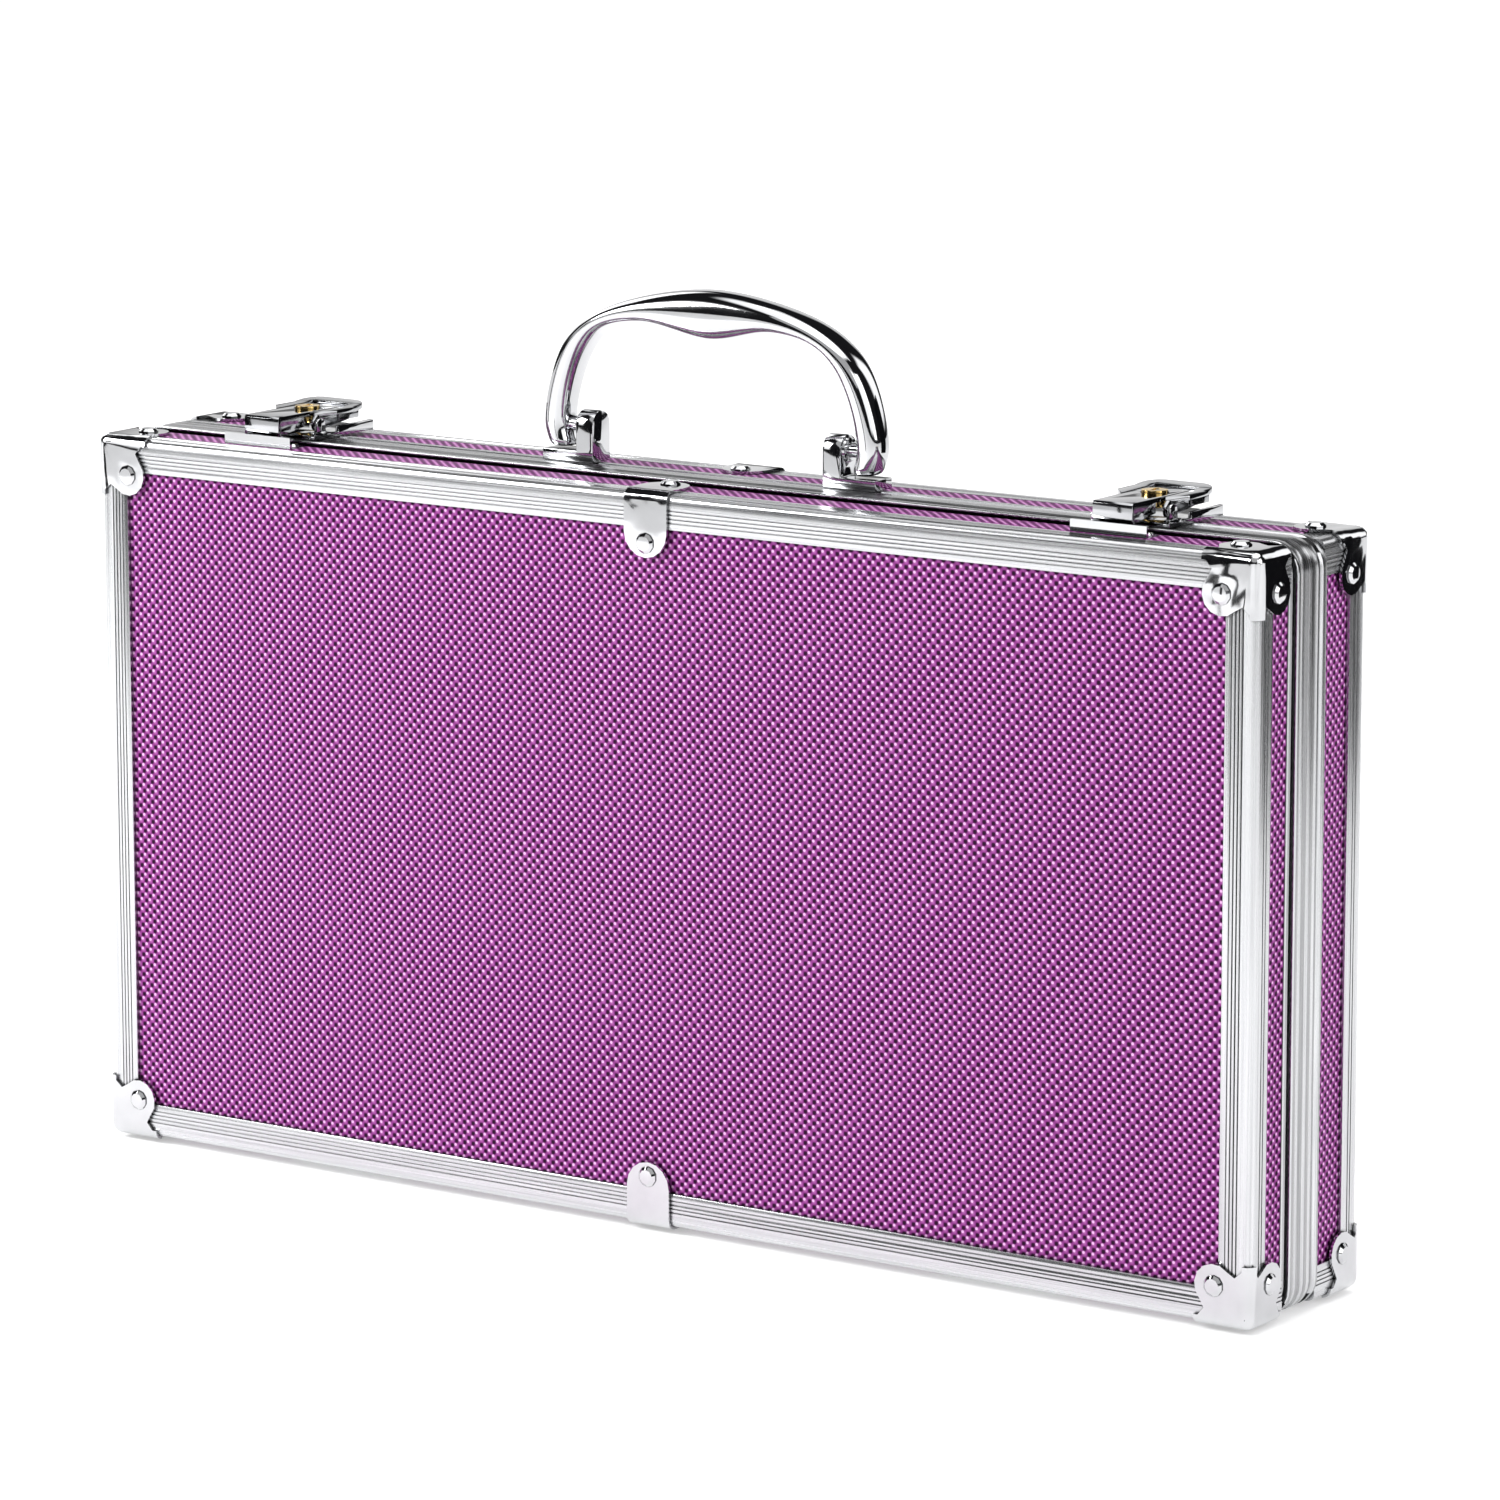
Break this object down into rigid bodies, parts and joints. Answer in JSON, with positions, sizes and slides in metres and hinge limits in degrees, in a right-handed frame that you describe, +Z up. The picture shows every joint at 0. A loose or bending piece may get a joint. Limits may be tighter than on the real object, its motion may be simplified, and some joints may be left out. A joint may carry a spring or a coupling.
{
  "type": "poker chip case",
  "caption": "Slim hinged carrying case with aluminium edging, chrome corner caps, two locking draw latches, a folding handle and a fitted insert for chips, cards and dice.",
  "frame": {"origin": "on the floor under the middle of the standing case", "axes": "+X along the case, +Y from the lid to the back, +Z up towards the handle"},
  "size_m": [0.3842, 0.0592, 0.2554],
  "materials": {
    "skin": "purple embossed plastic skin over board, satin",
    "aluminium": "satin extruded aluminium with fine ribs",
    "chrome": "bright nickel-chrome plated steel",
    "brass": "polished brass",
    "seal": "black rubber",
    "foam": "black flocked foam"
  },
  "bodies": {
    "body": {"body_panel": "skin", "body_wall_top": "skin", "body_wall_bottom": "skin", "body_wall_left": "skin", "body_wall_right": "skin", "body_edge_top": "aluminium", "body_edge_bottom": "aluminium", "body_edge_left": "aluminium", "body_edge_right": "aluminium", "body_post_bottom_left": "aluminium", "body_post_top_left": "aluminium", "body_post_bottom_right": "aluminium", "body_post_top_right": "aluminium", "body_cap_bottom_left": "chrome", "body_cap_top_left": "chrome", "body_cap_bottom_right": "chrome", "body_cap_top_right": "chrome", "body_clip_bottom": "chrome", "body_clip_top": "chrome", "handle_bracket_left": "chrome", "latch_base_left": "chrome", "hinge_body_leaf_left": "aluminium", "handle_bracket_right": "chrome", "latch_base_right": "chrome", "hinge_body_leaf_right": "aluminium", "body_rim": "aluminium", "chip_insert": "foam", "accessory_tray": "foam"},
    "lid": {"lid_panel": "skin", "lid_wall_top": "skin", "lid_wall_bottom": "skin", "lid_wall_left": "skin", "lid_wall_right": "skin", "lid_edge_top": "aluminium", "lid_edge_bottom": "aluminium", "lid_edge_left": "aluminium", "lid_edge_right": "aluminium", "lid_post_bottom_left": "aluminium", "lid_post_top_left": "aluminium", "lid_post_bottom_right": "aluminium", "lid_post_top_right": "aluminium", "lid_cap_bottom_left": "chrome", "lid_cap_top_left": "chrome", "lid_cap_bottom_right": "chrome", "lid_cap_top_right": "chrome", "lid_clip_bottom": "chrome", "lid_clip_top": "chrome", "lid_seal": "seal", "lid_pad": "foam", "latch_keeper_left": "chrome", "hinge_lid_leaf_left": "aluminium", "latch_keeper_right": "chrome", "hinge_lid_leaf_right": "aluminium"},
    "handle": {"handle": "chrome"},
    "lever_left": {"latch_lever_left": "chrome"},
    "hook_left": {"latch_hook_left": "chrome"},
    "lock_left": {"latch_lock_left": "brass"},
    "lever_right": {"latch_lever_right": "chrome"},
    "hook_right": {"latch_hook_right": "chrome"},
    "lock_right": {"latch_lock_right": "brass"}
  },
  "joints": [
    {"name": "lid_hinge", "type": "hinge", "parent": "body", "child": "lid", "pos_m": [0, -0.0106, 0.0018], "axis": [1, 0, 0], "range_deg": [0, 95]},
    {"name": "handle_pivot", "type": "hinge", "parent": "body", "child": "handle", "pos_m": [0, 0.0043, 0.2155], "axis": [1, 0, 0], "range_deg": [-90, 90]},
    {"name": "lever_left_pivot", "type": "hinge", "parent": "body", "child": "lever_left", "pos_m": [-0.14, -0.0015, 0.2087], "axis": [1, 0, 0], "range_deg": [0, 90]},
    {"name": "hook_left_pivot", "type": "hinge", "parent": "lever_left", "child": "hook_left", "pos_m": [-0.14, 0.0115, 0.2104], "axis": [-1, 0, 0], "range_deg": [0, 120]},
    {"name": "lock_left_turn", "type": "hinge", "parent": "hook_left", "child": "lock_left", "pos_m": [-0.14, 0.0037, 0.2087], "axis": [0, 0, 1], "range_deg": [0, 90]},
    {"name": "lever_right_pivot", "type": "hinge", "parent": "body", "child": "lever_right", "pos_m": [0.14, -0.0015, 0.2087], "axis": [1, 0, 0], "range_deg": [0, 90]},
    {"name": "hook_right_pivot", "type": "hinge", "parent": "lever_right", "child": "hook_right", "pos_m": [0.14, 0.0115, 0.2104], "axis": [-1, 0, 0], "range_deg": [0, 120]},
    {"name": "lock_right_turn", "type": "hinge", "parent": "hook_right", "child": "lock_right", "pos_m": [0.14, 0.0037, 0.2087], "axis": [0, 0, 1], "range_deg": [0, 90]}
  ],
  "couplings": [
    {"joint": "hook_left_pivot", "follows": "lever_left_pivot", "ratio": 1.15},
    {"joint": "hook_right_pivot", "follows": "lever_right_pivot", "ratio": 1.15}
  ]
}
